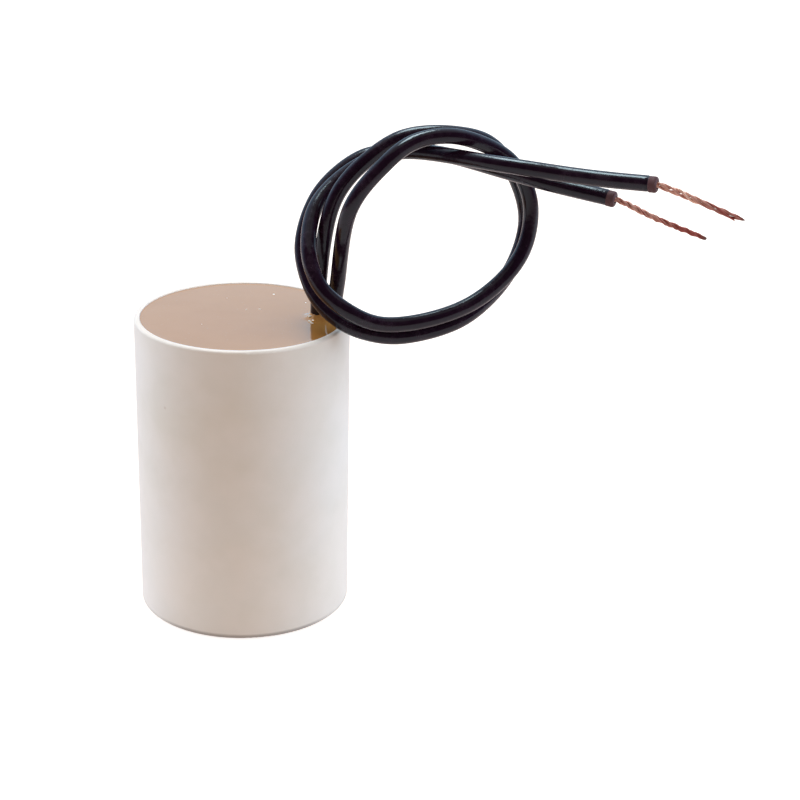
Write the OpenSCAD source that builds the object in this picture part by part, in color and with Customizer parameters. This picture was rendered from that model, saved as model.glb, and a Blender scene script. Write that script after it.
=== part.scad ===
// Motor run capacitor in a round plastic can: a wound film roll potted in
// resin, with two insulated leads tied in a loose overhand knot.
// The origin is at the middle of the can's underside, and +Z is up.

/* [Can] */
// Outside diameter of the moulded can
can_d = 35; // [32:0.5:45]
// Height of the can from its underside to its rim
can_h = 50; // [40:0.5:70]
// Thickness of the can's side wall
can_wall = 1; // [0.8:0.1:1.6]
// Thickness of the can's floor
can_floor = 1.2; // [1:0.1:2.5]
// Rounding of the rim's outer edge
rim_outer_r = 0.4; // [0.1:0.05:0.5]
// Rounding of the rim's inner edge
rim_inner_r = 0.2; // [0.05:0.05:0.25]
// Rounding of the can's lower outer edge
base_edge_r = 0.5; // [0.2:0.1:0.9]
// Rounding inside the can between its wall and its floor
inner_edge_r = 1; // [0.2:0.1:2]

/* [Resin] */
// How far the resin's level lies below the rim
resin_drop = 0.2; // [0.1:0.05:2]
// How far the resin creeps up each lead
creep_r = 1; // [0.4:0.1:1.6]
// Depth of resin over the wound pack
resin_cover = 7.8; // [6.5:0.1:12]

/* [Wound pack] */
// Height of the wound pack's underside above the can's floor
pack_lift = 2.8; // [2.5:0.1:5]
// Resin between the wound pack and the can's wall, on the side away from the leads
pack_side_gap = 0.8; // [0.4:0.1:2]
// Resin between the wound pack and the lead that runs down beside it
pack_lead_gap = 0.9; // [0.8:0.1:2]
// Thickness of the film tape wrapped round the roll
wrap_t = 0.3; // [0.1:0.05:0.6]
// Thickness of the sprayed zinc on each end of the roll
spray_t = 0.5; // [0.3:0.05:1]
// Outside diameter of the tube that the film is wound on
core_d = 7; // [5:0.5:9]
// Wall thickness of the tube that the film is wound on
core_wall = 1; // [0.6:0.1:1.5]
// Diameter of each solder joint on the sprayed zinc
joint_d = 4; // [3.6:0.1:5]
// Height of each solder joint
joint_h = 1.7; // [1.5:0.05:2]
// Distance of each solder joint's middle from the wound pack's edge
joint_inset = 4; // [3.6:0.1:5.5]

/* [Leads] */
// Diameter over the lead's insulation
lead_d = 2.5; // [2.2:0.1:2.6]
// Diameter of the stranded conductor
conductor_d = 1.1; // [0.8:0.05:1.2]
// Clearance between the conductor and its insulation
bore_gap = 0.02; // [0.01:0.01:0.05]
// Least resin between the outer lead and the can's wall
lead_wall_gap = 0.5; // [0.5:0.1:1.2]
// Clearance between a conductor and the face that it is soldered to
joint_gap = 0.1; // [0.05:0.05:0.3]
// Radius at the middle of each conductor's bend to its solder joint
conductor_bend_r = 1.6; // [1.2:0.1:2]
// Bare conductor between its bend and the insulation's inner end
inner_strip = 0.8; // [0.4:0.1:1.2]
// Number of bundles that show on each twisted bare end
bundles = 8; // [5:1:9]
// Depth of the grooves between the bundles
groove = 0.16; // [0.05:0.01:0.2]
// Length along the bare end in which its bundles make one turn
twist_pitch = 9; // [7:0.5:14]

/* [Hidden] */

$fn = 96;
eps = 0.5;              // how far a cutting shape runs past what it cuts

// Levels and radii that follow from the driving sizes
inner_r = can_d / 2 - can_wall;
resin_z = can_h - resin_drop;
lead_r = lead_d / 2;
pack_z = can_floor + pack_lift;
pack_top = resin_z - resin_cover;
roll_z = pack_z + spray_t;
roll_h = pack_top - pack_z - 2 * spray_t;
pack_r = inner_r - (pack_side_gap + pack_lead_gap + lead_d + lead_wall_gap) / 2;
roll_r = pack_r - wrap_t;
pack_x = pack_side_gap + pack_r - inner_r;
lead_x = inner_r - lead_wall_gap - lead_r;
joint_x = pack_x + pack_r - joint_inset;

// Both leads are set out from here, at the resin's level near the wall
lead_origin = [lead_x, 0, resin_z];

// Smooth routes of the two leads, from the resin to the end of their
// insulation. They rise side by side, go round in a loop clockwise, cross in
// front of themselves at the bottom, pass behind at the top left and leave
// in front, which ties the pair in a loose overhand knot.
long_route = [
    [0, -2, 0], [0.5, -3.5, 6.75], [2, -9, 20.25], [7.75, -8.25, 27.75],
    [13, -6.25, 30.75], [19.75, -4.75, 30.75], [27.5, -1.5, 26.5],
    [31.25, -1, 20], [31, -2, 13.25], [27.75, -4.25, 8.25], [21.75, -7, 4.25],
    [14.5, -9.75, 2.5], [7.25, -11, 2.25], [1.75, -11.75, 4.75],
    [-2.5, -10, 8.25], [-4.25, -7, 13], [-3.25, -1.5, 18], [0.5, 2.5, 21.75],
    [6.25, 3.25, 25.25], [12.75, 0.25, 27.25], [25, -9.5, 27.75],
    [34.75, -13.75, 27.25], [41, -17, 27.25], [47.5, -20.5, 27.5]];
short_route = [
    [-2.5, -1, 0], [-1.75, -3, 13], [0.25, -2.75, 20.75], [4.75, -2.25, 26.25],
    [11, -1.25, 30], [19, -1.25, 30.5], [25.5, 1.5, 27.75],
    [30.25, 4.25, 20.5], [31.5, 3.75, 13.5], [28.25, 1, 6], [20.75, -6, 1.5],
    [11.5, -8.75, -0.5], [4.5, -9.75, 0.5], [-0.75, -8, 3], [-4, -4.75, 7],
    [-5, -0.25, 12.75], [-2, 4.25, 19.5], [4.5, 6.75, 24.5],
    [11.5, 6.25, 25.75], [18, 3, 26], [27, -4.75, 25.25], [33.5, -9.5, 24.5],
    [42.5, -14.5, 23.5]];

// Bare ends, set out from the end of their insulation
long_bare_route = [
    [0, 0, 0], [1.5, -0.5, -0.5], [4.5, -1.5, -1.5], [8.5, -3, -3],
    [12.5, -4.5, -4.5]];
short_bare_route = [
    [0, 0, 0], [1.5, -0.5, -0.5], [5, -2, -2], [9, -3, -3.5],
    [13.5, -4.5, -5]];

lead_rings = 52;        // rings along each route above the resin
bare_rings = 34;        // rings along each bare end
bend_rings = 5;         // rings round each conductor's bend
stub_rings = 3;         // rings that reach from the insulation's end past the resin
lead_sides = 8;         // sides of the insulation's outline
bore_r = (conductor_d / 2 + bore_gap) / cos(180 / lead_sides);
conductor_sides = 2 * bundles;

// ---- Curves and sweeps ----

function unit(v) = v / norm(v);

// Route with an extra point at each end, so that the curve leaves the resin
// straight up and keeps its direction at its far end
function with_ends(p) =
    let (n = len(p), rise = norm(p[1] - p[0]))
    concat([p[1] - [0, 0, 2 * rise]], p, [2 * p[n - 1] - p[n - 2]]);

// Point on the smooth curve through the points of p, at u counted in points
function on_curve(p, u) =
    let (i = min(floor(u), len(p) - 4), t = u - i,
         a = 2 * p[i + 1],
         b = p[i + 2] - p[i],
         c = 2 * p[i] - 5 * p[i + 1] + 4 * p[i + 2] - p[i + 3],
         d = 3 * p[i + 1] - p[i] - 3 * p[i + 2] + p[i + 3])
    (a + b * t + c * t * t + d * t * t * t) / 2;

// n points spread evenly along the curve through the points of p
function along(p, n) =
    [for (k = [0:n - 1]) on_curve(p, k * (len(p) - 3) / (n - 1))];

function moved(p, v) = [for (q = p) q + v];

// Direction of a path at each of its points
function directions(p) =
    let (last = len(p) - 1)
    [for (i = [0:last]) unit(p[min(i + 1, last)] - p[max(i - 1, 0)])];

// Sideways direction at each point, carried along so that it never turns
// about the path
function sideways(t, i = 0, before = [0, 1, 0]) =
    let (now = unit(before - (before * t[i]) * t[i]))
    i == len(t) - 1 ? [now] : concat([now], sideways(t, i + 1, now));

// One ring of corners about a path's point, its radii given corner by corner
function ring(at, dir, side, radii, turn = 0) =
    let (other = cross(dir, side), n = len(radii))
    [for (k = [0:n - 1])
        let (a = turn + 360 * k / n)
        at + radii[k] * (cos(a) * side + sin(a) * other)];

// Rings of n corners each, at radius r, square to a path at each of its points
function rings(path, n, r) =
    let (dir = directions(path), side = sideways(dir), radii = [for (k = [1:n]) r])
    [for (i = [0:len(path) - 1]) ring(path[i], dir[i], side[i], radii)];

function flat(rows) = [for (r = rows) each r];

// Faces of the skin over m rings of n corners, starting at corner `first`
function skin(n, m, first = 0) =
    [for (i = [0:m - 2], k = [0:n - 1])
        let (a = first + i * n + k, b = first + i * n + (k + 1) % n)
        each [[a, a + n, b], [b, a + n, b + n]]];

function middle(points) = [for (p = points) 1] * points / len(points);

function flipped(faces) = [for (f = faces) [f[2], f[1], f[0]]];

// Solid skinned over rings, closed at each end by a fan about its middle
module solid_sweep(rings) {
    n = len(rings[0]);
    m = len(rings);
    corners = flat(rings);
    first_mid = n * m;
    last_mid = first_mid + 1;
    mids = [middle(rings[0]), middle(rings[m - 1])];
    start_cap = [for (k = [0:n - 1]) [first_mid, k, (k + 1) % n]];
    end_cap = [for (k = [0:n - 1]) [last_mid, (m - 1) * n + (k + 1) % n, (m - 1) * n + k]];
    polyhedron(concat(corners, mids), concat(skin(n, m), start_cap, end_cap));
}

// Hollow tube skinned over outer and inner rings of equal numbers
module hollow_sweep(outer, inner) {
    n = len(outer[0]);
    m = len(outer);
    corners = concat(flat(outer), flat(inner));
    shift = n * m;
    start_cap = [for (k = [0:n - 1])
        let (a = k, b = (k + 1) % n)
        each [[a, b, shift + a], [b, shift + b, shift + a]]];
    end_cap = [for (k = [0:n - 1])
        let (a = (m - 1) * n + k, b = (m - 1) * n + (k + 1) % n)
        each [[a, shift + a, b], [b, shift + a, shift + b]]];
    polyhedron(corners, concat(skin(n, m), flipped(skin(n, m, shift)), start_cap, end_cap));
}

// ---- Paths of the leads ----

// Level of the middle of each conductor where it lies on its solder joint
lower_joint_z = pack_z - joint_gap - conductor_d / 2;
upper_joint_z = pack_top + joint_gap + conductor_d / 2;

// Insulation, from its inner end to its outer end
function lead_path(route, joint_z) =
    let (above = along(with_ends(moved(route, lead_origin)), lead_rings),
         foot = above[0],
         foot_z = joint_z + conductor_bend_r + inner_strip)
    concat([[foot[0], foot[1], foot_z]], above);

// Bare conductor inside the can, from its solder joint round its bend
function inner_path(route, joint_z) =
    let (x = lead_origin[0] + route[0][0], y = route[0][1], r = conductor_bend_r,
         tip = [joint_x - conductor_d / 2, y, joint_z])
    concat([tip], [for (k = [0:bend_rings - 1])
        let (a = 90 * k / (bend_rings - 1))
        [x - r + r * sin(a), y, joint_z + r - r * cos(a)]]);

function bare_path(route, lead_end) =
    let (p = moved(route, lead_end), n = len(p))
    along(concat([2 * p[0] - p[1]], p, [2 * p[n - 1] - p[n - 2]]), bare_rings);

module insulation(route, joint_z) {
    path = lead_path(route, joint_z);
    hollow_sweep(rings(path, lead_sides, lead_r), rings(path, lead_sides, bore_r));
}

// Conductor from its solder joint to its bare tip, where its bundles show as
// lobes that turn about it
module conductor(route, bare_route, joint_z) {
    inside = concat(inner_path(route, joint_z), lead_path(route, joint_z));
    bare = bare_path(bare_route, inside[len(inside) - 1]);
    path = concat(inside, [for (i = [1:bare_rings - 1]) bare[i]]);
    dir = directions(path);
    side = sideways(dir);
    first_bare = len(inside);
    bare_step = norm(bare[bare_rings - 1] - bare[0]) / (bare_rings - 1);
    plain = [for (k = [1:conductor_sides]) conductor_d / 2];
    lobed = [for (k = [1:conductor_sides]) conductor_d / 2 - (k % 2) * groove];
    solid_sweep([for (i = [0:len(path) - 1])
        let (along_bare = max(0, i - first_bare + 1) * bare_step)
        ring(path[i], dir[i], side[i], i < first_bare ? plain : lobed,
             360 * along_bare / twist_pitch)]);
}

// ---- Round forms ----

// What rounding off a square corner at the origin takes away
module corner_waste(r) {
    difference() {
        square(r);
        translate([r, r]) circle(r);
    }
}

// Half outline of the can's hollow, filled up to the height top
module hollow_outline(top) {
    difference() {
        translate([0, can_floor]) square([inner_r, top - can_floor]);
        translate([inner_r, can_floor]) mirror([1, 0]) corner_waste(inner_edge_r);
    }
}

// Place at the middle of the wound pack, at height z
module on_pack(z) {
    translate([pack_x, 0, z]) children();
}

// Ring about the pack's axis
module pack_ring(outer, inner, z, h) {
    on_pack(z) difference() {
        cylinder(r = outer, h = h);
        translate([0, 0, -eps]) cylinder(r = inner, h = h + 2 * eps);
    }
}

// Dome of solder that stands on a face at the origin
module dome() {
    base_r = joint_d / 2;
    ball_r = (base_r * base_r + joint_h * joint_h) / (2 * joint_h);
    intersection() {
        translate([0, 0, joint_h - ball_r]) sphere(ball_r);
        cylinder(r = joint_d, h = joint_d);
    }
}

// Solder joints as full domes, before the conductors are taken out of them
module upper_dome() {
    translate([joint_x, short_route[0][1], pack_top]) dome();
}

module lower_dome() {
    translate([joint_x, long_route[0][1], pack_z]) mirror([0, 0, 1]) dome();
}

// Resin that has crept up round a lead where it leaves the surface, with a
// root as deep as it is high
module creep(route) {
    translate([lead_x + route[0][0], route[0][1], resin_z]) rotate_extrude() {
        translate([0, -creep_r]) square([lead_r, 2 * creep_r]);
        translate([lead_r, -creep_r]) square(creep_r);
        translate([lead_r, 0]) corner_waste(creep_r);
    }
}

// Embedded stretch of a lead, its insulation filled solid, and its conductor
module stub(route, joint_z) {
    path = lead_path(route, joint_z);
    inner = inner_path(route, joint_z);
    sleeve = rings(path, lead_sides, lead_r);
    wire = rings(concat(inner, path), conductor_sides, conductor_d / 2);
    solid_sweep([for (i = [0:stub_rings - 1]) sleeve[i]]);
    solid_sweep([for (i = [0:len(inner)]) wire[i]]);
}

// Everything that the resin flows round
module embedded() {
    pack_ring(pack_r, core_d / 2 - core_wall, pack_z, pack_top - pack_z);
    upper_dome();
    lower_dome();
    stub(long_route, lower_joint_z);
    stub(short_route, upper_joint_z);
}

// ---- Pieces ----

module can() {
    color("ivory") rotate_extrude() difference() {
        square([can_d / 2, can_h]);
        hollow_outline(can_h + eps);
        translate([can_d / 2, 0]) mirror([1, 0]) corner_waste(base_edge_r);
        translate([can_d / 2, can_h]) mirror([1, 0]) mirror([0, 1]) corner_waste(rim_outer_r);
        translate([inner_r, can_h]) mirror([0, 1]) corner_waste(rim_inner_r);
    }
}

module potting_resin() {
    color([0.76, 0.69, 0.62]) difference() {
        intersection() {
            rotate_extrude() hollow_outline(resin_z + 2 * creep_r);
            union() {
                cylinder(d = can_d, h = resin_z);
                creep(long_route);
                creep(short_route);
            }
        }
        embedded();
    }
}

module film_roll() {
    color([0.75, 0.77, 0.78]) pack_ring(roll_r, core_d / 2, roll_z, roll_h);
}

module core_tube() {
    color([0.9, 0.9, 0.86]) pack_ring(core_d / 2, core_d / 2 - core_wall, pack_z, pack_top - pack_z);
}

module tape_wrap() {
    color([0.85, 0.82, 0.6]) pack_ring(pack_r, roll_r, pack_z, pack_top - pack_z);
}

module upper_end_spray() {
    color([0.62, 0.63, 0.65]) pack_ring(roll_r, core_d / 2, roll_z + roll_h, spray_t);
}

module lower_end_spray() {
    color([0.62, 0.63, 0.65]) pack_ring(roll_r, core_d / 2, pack_z, spray_t);
}

module upper_solder_joint() {
    color([0.72, 0.73, 0.75]) difference() {
        upper_dome();
        stub(short_route, upper_joint_z);
    }
}

module lower_solder_joint() {
    color([0.72, 0.73, 0.75]) difference() {
        lower_dome();
        stub(long_route, lower_joint_z);
    }
}

module long_lead_insulation() {
    color([0.05, 0.05, 0.06]) insulation(long_route, lower_joint_z);
}

module long_lead_conductor() {
    color([0.8, 0.48, 0.38]) conductor(long_route, long_bare_route, lower_joint_z);
}

module short_lead_insulation() {
    color([0.05, 0.05, 0.06]) insulation(short_route, upper_joint_z);
}

module short_lead_conductor() {
    color([0.8, 0.48, 0.38]) conductor(short_route, short_bare_route, upper_joint_z);
}

can();
potting_resin();
film_roll();
core_tube();
tape_wrap();
upper_end_spray();
lower_end_spray();
upper_solder_joint();
lower_solder_joint();
long_lead_insulation();
long_lead_conductor();
short_lead_insulation();
short_lead_conductor();
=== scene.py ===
# %% [markdown]
# # Motor run capacitor
#
# The object is a moulded plastic can filled with cast resin. Two black leads
# rise from the resin beside the wall, are tied together in one loose overhand
# knot and end in bare twisted copper.
#
# Its solids are already packed as a fixed frame. This script loads them and
# gives the object its looks: smooth leads, strands of copper, a skin on the
# resin, and a material for every piece. All lengths are in metres.

# %% Load the frame
import math
import random

import bpy
from mathutils import Matrix, Vector
from mathutils.geometry import interpolate_bezier


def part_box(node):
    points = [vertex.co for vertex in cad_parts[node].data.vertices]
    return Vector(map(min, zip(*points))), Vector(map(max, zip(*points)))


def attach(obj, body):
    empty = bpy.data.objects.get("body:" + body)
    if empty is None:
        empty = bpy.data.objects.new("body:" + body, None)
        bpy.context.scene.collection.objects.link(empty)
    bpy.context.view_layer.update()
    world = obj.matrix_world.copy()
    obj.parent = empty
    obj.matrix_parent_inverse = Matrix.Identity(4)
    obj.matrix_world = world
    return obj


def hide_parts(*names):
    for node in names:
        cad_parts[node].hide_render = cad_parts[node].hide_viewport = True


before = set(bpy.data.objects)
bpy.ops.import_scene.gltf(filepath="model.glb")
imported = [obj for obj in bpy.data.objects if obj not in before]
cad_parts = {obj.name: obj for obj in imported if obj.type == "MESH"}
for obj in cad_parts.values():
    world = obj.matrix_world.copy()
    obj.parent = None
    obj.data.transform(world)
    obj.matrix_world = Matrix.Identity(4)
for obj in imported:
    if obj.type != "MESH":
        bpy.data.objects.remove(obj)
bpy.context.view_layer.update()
scene = bpy.context.scene
BODY = "root"
MM = 0.001
bpy.ops.object.select_all(action="DESELECT")
print("pieces in the frame:", ", ".join(sorted(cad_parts)))

# %% [markdown]
# The camera comes first, because the leads are judged by what it sees. It
# stands in front of the can, a little above it, and leans over by a degree.
# Its turn is built from three plain rotations: about the upright, down
# towards the table, and about its own line of sight.

# %% Camera
CAMERA_PLACE = Vector((0.0, -0.2965, 0.1533))
CAMERA_TURN = math.radians(5.01)
CAMERA_DIP = math.radians(21.71)
CAMERA_LEAN = math.radians(1.21)
FOCAL_LENGTH = 86.68  # in millimetres, as on a real lens
CLOSEST_VIEW = 10 * MM

camera = bpy.data.objects.new("camera", bpy.data.cameras.new("camera"))
camera.data.lens = FOCAL_LENGTH
camera.data.clip_start = CLOSEST_VIEW
turn = (Matrix.Rotation(-CAMERA_TURN, 4, "Z")
        @ Matrix.Rotation(math.pi / 2 - CAMERA_DIP, 4, "X")
        @ Matrix.Rotation(CAMERA_LEAN, 4, "Z"))
camera.matrix_world = Matrix.Translation(CAMERA_PLACE) @ turn
scene.collection.objects.link(camera)
scene.camera = camera
print("camera looks along", [round(v, 3) for v in turn @ Vector((0, 0, -1))])

# %% [markdown]
# Each lead is a stiff wire that keeps the shape a hand bent it to. Its route
# is a list of points in millimetres, set out from the place on the resin
# where the leads come up. The same points shape the solids of the frame, so
# the drawn leads lie exactly on them.

# %% Routes of the two leads
LEAD_D = 2.5 * MM
CONDUCTOR_D = 1.1 * MM
CAN_WALL = 1.0 * MM
RESIN_DROP = 0.2 * MM
LEAD_WALL_GAP = 0.5 * MM
CAN_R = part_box("can")[1][0]
CAN_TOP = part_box("can")[1][2]
RESIN_Z = CAN_TOP - RESIN_DROP
CAN_INNER_R = CAN_R - CAN_WALL
LEAD_ORIGIN = Vector((CAN_INNER_R - LEAD_WALL_GAP - LEAD_D / 2, 0, RESIN_Z))

LONG_ROUTE = [
    (0, -2, 0), (0.5, -3.5, 6.75), (2, -9, 20.25), (7.75, -8.25, 27.75),
    (13, -6.25, 30.75), (19.75, -4.75, 30.75), (27.5, -1.5, 26.5),
    (31.25, -1, 20), (31, -2, 13.25), (27.75, -4.25, 8.25), (21.75, -7, 4.25),
    (14.5, -9.75, 2.5), (7.25, -11, 2.25), (1.75, -11.75, 4.75),
    (-2.5, -10, 8.25), (-4.25, -7, 13), (-3.25, -1.5, 18), (0.5, 2.5, 21.75),
    (6.25, 3.25, 25.25), (12.75, 0.25, 27.25), (25, -9.5, 27.75),
    (34.75, -13.75, 27.25), (41, -17, 27.25), (47.5, -20.5, 27.5)]
SHORT_ROUTE = [
    (-2.5, -1, 0), (-1.75, -3, 13), (0.25, -2.75, 20.75), (4.75, -2.25, 26.25),
    (11, -1.25, 30), (19, -1.25, 30.5), (25.5, 1.5, 27.75),
    (30.25, 4.25, 20.5), (31.5, 3.75, 13.5), (28.25, 1, 6), (20.75, -6, 1.5),
    (11.5, -8.75, -0.5), (4.5, -9.75, 0.5), (-0.75, -8, 3), (-4, -4.75, 7),
    (-5, -0.25, 12.75), (-2, 4.25, 19.5), (4.5, 6.75, 24.5),
    (11.5, 6.25, 25.75), (18, 3, 26), (27, -4.75, 25.25), (33.5, -9.5, 24.5),
    (42.5, -14.5, 23.5)]
LONG_BARE = [(0, 0, 0), (1.5, -0.5, -0.5), (4.5, -1.5, -1.5),
             (8.5, -3, -3), (12.5, -4.5, -4.5)]
SHORT_BARE = [(0, 0, 0), (1.5, -0.5, -0.5), (5, -2, -2),
              (9, -3, -3.5), (13.5, -4.5, -5)]


def placed(route, start):
    """The points of a route in metres, set out from its start."""
    return [start + Vector(p) * MM for p in route]


long_points = placed(LONG_ROUTE, LEAD_ORIGIN)
short_points = placed(SHORT_ROUTE, LEAD_ORIGIN)
long_bare_points = placed(LONG_BARE, long_points[-1])
short_bare_points = placed(SHORT_BARE, short_points[-1])
print("leads come up at", [round(v / MM, 2) for v in LEAD_ORIGIN], "mm")

# %% [markdown]
# A wire has no corners, so a Bezier curve goes through all the points of a
# route. Each handle is a sixth of the step between the points on both sides,
# which makes the curve run smoothly through every one. A lead leaves the
# resin straight up, and its line starts a little below the resin, so that no
# gap shows at its foot.


# %% Smooth line through the points of a route
def tangents(points, first=None):
    """The way a curve runs through each point, and at its start if given."""
    ends = [2 * points[0] - points[1]] + points + [2 * points[-1] - points[-2]]
    result = [(ends[i + 2] - ends[i]) / 2 for i in range(len(points))]
    if first is not None:
        result[0] = first
    return result


def sampled(points, ways, steps):
    """A line along the curve, with so many steps between two points."""
    line = []
    for i in range(len(points) - 1):
        part = interpolate_bezier(points[i], points[i] + ways[i] / 3,
                                  points[i + 1] - ways[i + 1] / 3,
                                  points[i + 1], steps + 1)
        line.extend(part if i == 0 else part[1:])
    return line


def length_of(line):
    """How long a line is, added up from its short straight steps."""
    return sum((b - a).length for a, b in zip(line, line[1:]))


SINK = 1.5 * MM
LEAD_STEPS = 12


def lead_line(points):
    """The middle line of a lead, begun a little below the resin."""
    rise = Vector((0, 0, (points[1] - points[0]).length))
    line = sampled(points, tangents(points, rise), LEAD_STEPS)
    return [points[0] - Vector((0, 0, SINK))] + line


long_line = lead_line(long_points)
short_line = lead_line(short_points)
for name, line in (("long", long_line), ("short", short_line)):
    print(name, "lead, from the resin to the end of its insulation:",
          round((length_of(line) - SINK) / MM, 1), "mm")

# %% [markdown]
# The insulation is a curve with a round bevel, which is the usual way to make
# a wire. It is then turned into a mesh, because its cut end needs shaping in
# edit mode. The copper wires are made the same way later, so drawing a round
# curve is a helper of its own.

# %% Insulation tubes
TUBE_SIDES = 24


def only(obj):
    """Make obj the one selected and active object."""
    bpy.ops.object.select_all(action="DESELECT")
    obj.select_set(True)
    bpy.context.view_layer.objects.active = obj


def round_curve(name, diameter, sides):
    """An empty curve that draws each of its lines as a round rod."""
    curve = bpy.data.curves.new(name, "CURVE")
    curve.dimensions = "3D"
    curve.bevel_depth = diameter / 2
    curve.bevel_resolution = (sides - 4) // 2
    return curve


def add_line(curve, line):
    """Add one line of points to a curve."""
    spline = curve.splines.new("POLY")
    spline.points.add(len(line) - 1)
    for point, place in zip(spline.points, line):
        point.co = (*place, 1)


def as_mesh(name, curve):
    """Turn a curve into an object with a mesh of its own."""
    obj = bpy.data.objects.new(name, curve)
    scene.collection.objects.link(obj)
    only(obj)
    bpy.ops.object.convert(target="MESH")
    return bpy.context.object


def tube(name, line):
    """A solid round tube along a line, closed at both ends."""
    curve = round_curve(name, LEAD_D, TUBE_SIDES)
    add_line(curve, line)
    obj = as_mesh(name, curve)
    bpy.ops.object.mode_set(mode="EDIT")
    bpy.ops.mesh.select_all(action="SELECT")
    bpy.ops.mesh.fill_holes(sides=0)
    bpy.ops.object.mode_set(mode="OBJECT")
    return obj


long_insulation = tube("long_lead_sleeve", long_line)
short_insulation = tube("short_lead_sleeve", short_line)
sleeves = ((long_insulation, long_line), (short_insulation, short_line))
for obj, line in sleeves:
    print(obj.name, len(obj.data.polygons), "faces")

# %% [markdown]
# Tools in edit mode act on whatever is selected. By hand, faces are clicked
# on. Here a rule about their place picks them, which holds even when a number
# above is changed. The marks are set in object mode, where they can be
# reached, and edit mode then finds them.

# %% Selecting by place
SAME_PLACE = 0.02 * MM


def select(obj, kind, chosen):
    """Select only the vertices or faces that chosen() takes, in edit mode."""
    bpy.ops.object.mode_set(mode="EDIT")
    bpy.ops.mesh.select_mode(type=kind)
    bpy.ops.mesh.select_all(action="DESELECT")
    bpy.ops.object.mode_set(mode="OBJECT")
    parts = obj.data.vertices if kind == "VERT" else obj.data.polygons
    for part in parts:
        part.select = chosen(part)
    bpy.ops.object.mode_set(mode="EDIT")


print("two places closer than", SAME_PLACE / MM, "mm count as one")

# %% [markdown]
# Where a lead was stripped, its insulation ends in a plain cut. The corner is
# rounded a little, the end face is inset by the wall and pushed in, so that
# the copper comes out of a mouth, and a shallow ring is left where the
# stripping tool bit. The stub beyond the ring was pulled and sags by a hair.

# %% Cut end of the insulation
END_ROUND = 0.36 * MM
END_SEGMENTS = 3
MOUTH_DEPTH = 1.2 * MM
MOUTH_R = CONDUCTOR_D / 2 + 0.05 * MM
SCORE_BACK = 1.25 * MM
SCORE_WIDTH = 0.2 * MM
SCORE_DEPTH = 0.09 * MM
STUB_SAG = 0.07 * MM
LAST_STRETCH = 4 * MM
SMOOTH_UNDER = math.radians(50)


def on_stub(face, end, way):
    """Whether a face lies between the scored ring and the cut end."""
    off = Vector(face.center) - end
    return off.length < 2 * LEAD_D and off.dot(way) > -SCORE_BACK


def score(obj, end, way):
    """Cut three rings round the sleeve and draw in the middle one."""
    def last_stretch(face):
        off = Vector(face.center) - end
        return off.length < LAST_STRETCH and off.dot(way) < -SAME_PLACE

    def in_groove(vert):
        off = vert.co - groove
        return abs(off.dot(way)) < SAME_PLACE / 2 and off.length < LEAD_D

    for share in (0, 0.5, 1):
        select(obj, "FACE", last_stretch)
        back = SCORE_BACK + share * SCORE_WIDTH
        bpy.ops.mesh.bisect(plane_co=end - back * way, plane_no=way)
    groove = end - (SCORE_BACK + SCORE_WIDTH / 2) * way
    select(obj, "VERT", in_groove)
    shrink = 1 - SCORE_DEPTH / (LEAD_D / 2)
    bpy.ops.transform.resize(value=(shrink, shrink, shrink),
                             center_override=groove)


def cut_end(obj, line):
    """Give a sleeve its scored ring, its rounded corner and its mouth."""
    end = line[-1]
    way = (line[-1] - line[-2]).normalized()

    def on_end(face):
        return (Vector(face.center) - end).length < SAME_PLACE

    score(obj, end, way)
    select(obj, "FACE", on_end)
    bpy.ops.mesh.bevel(offset=END_ROUND, segments=END_SEGMENTS)
    select(obj, "FACE", on_end)
    bpy.ops.mesh.inset(thickness=LEAD_D / 2 - END_ROUND - MOUTH_R)
    bpy.ops.mesh.extrude_region_move(
        TRANSFORM_OT_translate={"value": -MOUTH_DEPTH * way})
    select(obj, "FACE", lambda face: on_stub(face, end, way))
    bpy.ops.transform.translate(value=(0, 0, -STUB_SAG))
    bpy.ops.object.mode_set(mode="OBJECT")


for obj, line in sleeves:
    only(obj)
    cut_end(obj, line)
    bpy.ops.object.shade_smooth_by_angle(angle=SMOOTH_UNDER)
    print(obj.name, "with its cut end:", len(obj.data.polygons), "faces")

# %% [markdown]
# The bare ends are 24 fine wires each, twisted by hand into a few bundles
# that wind about one another: four loose ones on the long lead, three tight
# ones on the short lead. A rope like that is best drawn as lines in space:
# every wire is a spline whose distance from the middle is the sum of two
# turning radii, the bundle's and its own. Such a line needs an even run of
# points along the middle, and a sideways and an upward direction at each.

# %% Middle line of a bare end
BARE_STEPS = 48
BARE_FINE_STEPS = 40


def even_line(points, back, steps):
    """A line with equal steps, begun a little behind the first point."""
    ways = tangents(points)
    line = sampled(points, ways, BARE_FINE_STEPS)
    line = [points[0] - ways[0].normalized() * back] + line
    total = length_of(line)
    result, gone, i = [], 0.0, 0
    for k in range(steps):
        want = total * k / (steps - 1)
        while (i < len(line) - 2
               and gone + (line[i + 1] - line[i]).length < want):
            gone += (line[i + 1] - line[i]).length
            i += 1
        part = (want - gone) / (line[i + 1] - line[i]).length
        result.append(line[i].lerp(line[i + 1], min(part, 1.0)))
    return result, total


def frames_along(line):
    """A sideways and an upward direction at each point, carried along."""
    side = Vector((0, 1, 0))
    result = []
    for i in range(len(line)):
        way = (line[min(i + 1, len(line) - 1)]
               - line[max(i - 1, 0)]).normalized()
        side = (side - side.dot(way) * way).normalized()
        result.append((side, way.cross(side)))
    return result


def beside(line, sides, u, x, y):
    """The place x sideways and y above the line, at a share u of it."""
    spot = u * (len(line) - 1)
    i = min(int(spot), len(line) - 2)
    middle = line[i].lerp(line[i + 1], spot - i)
    side, up = sides[i]
    return middle + x * side + y * up


print("each wire has", BARE_STEPS, "points")

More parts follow.
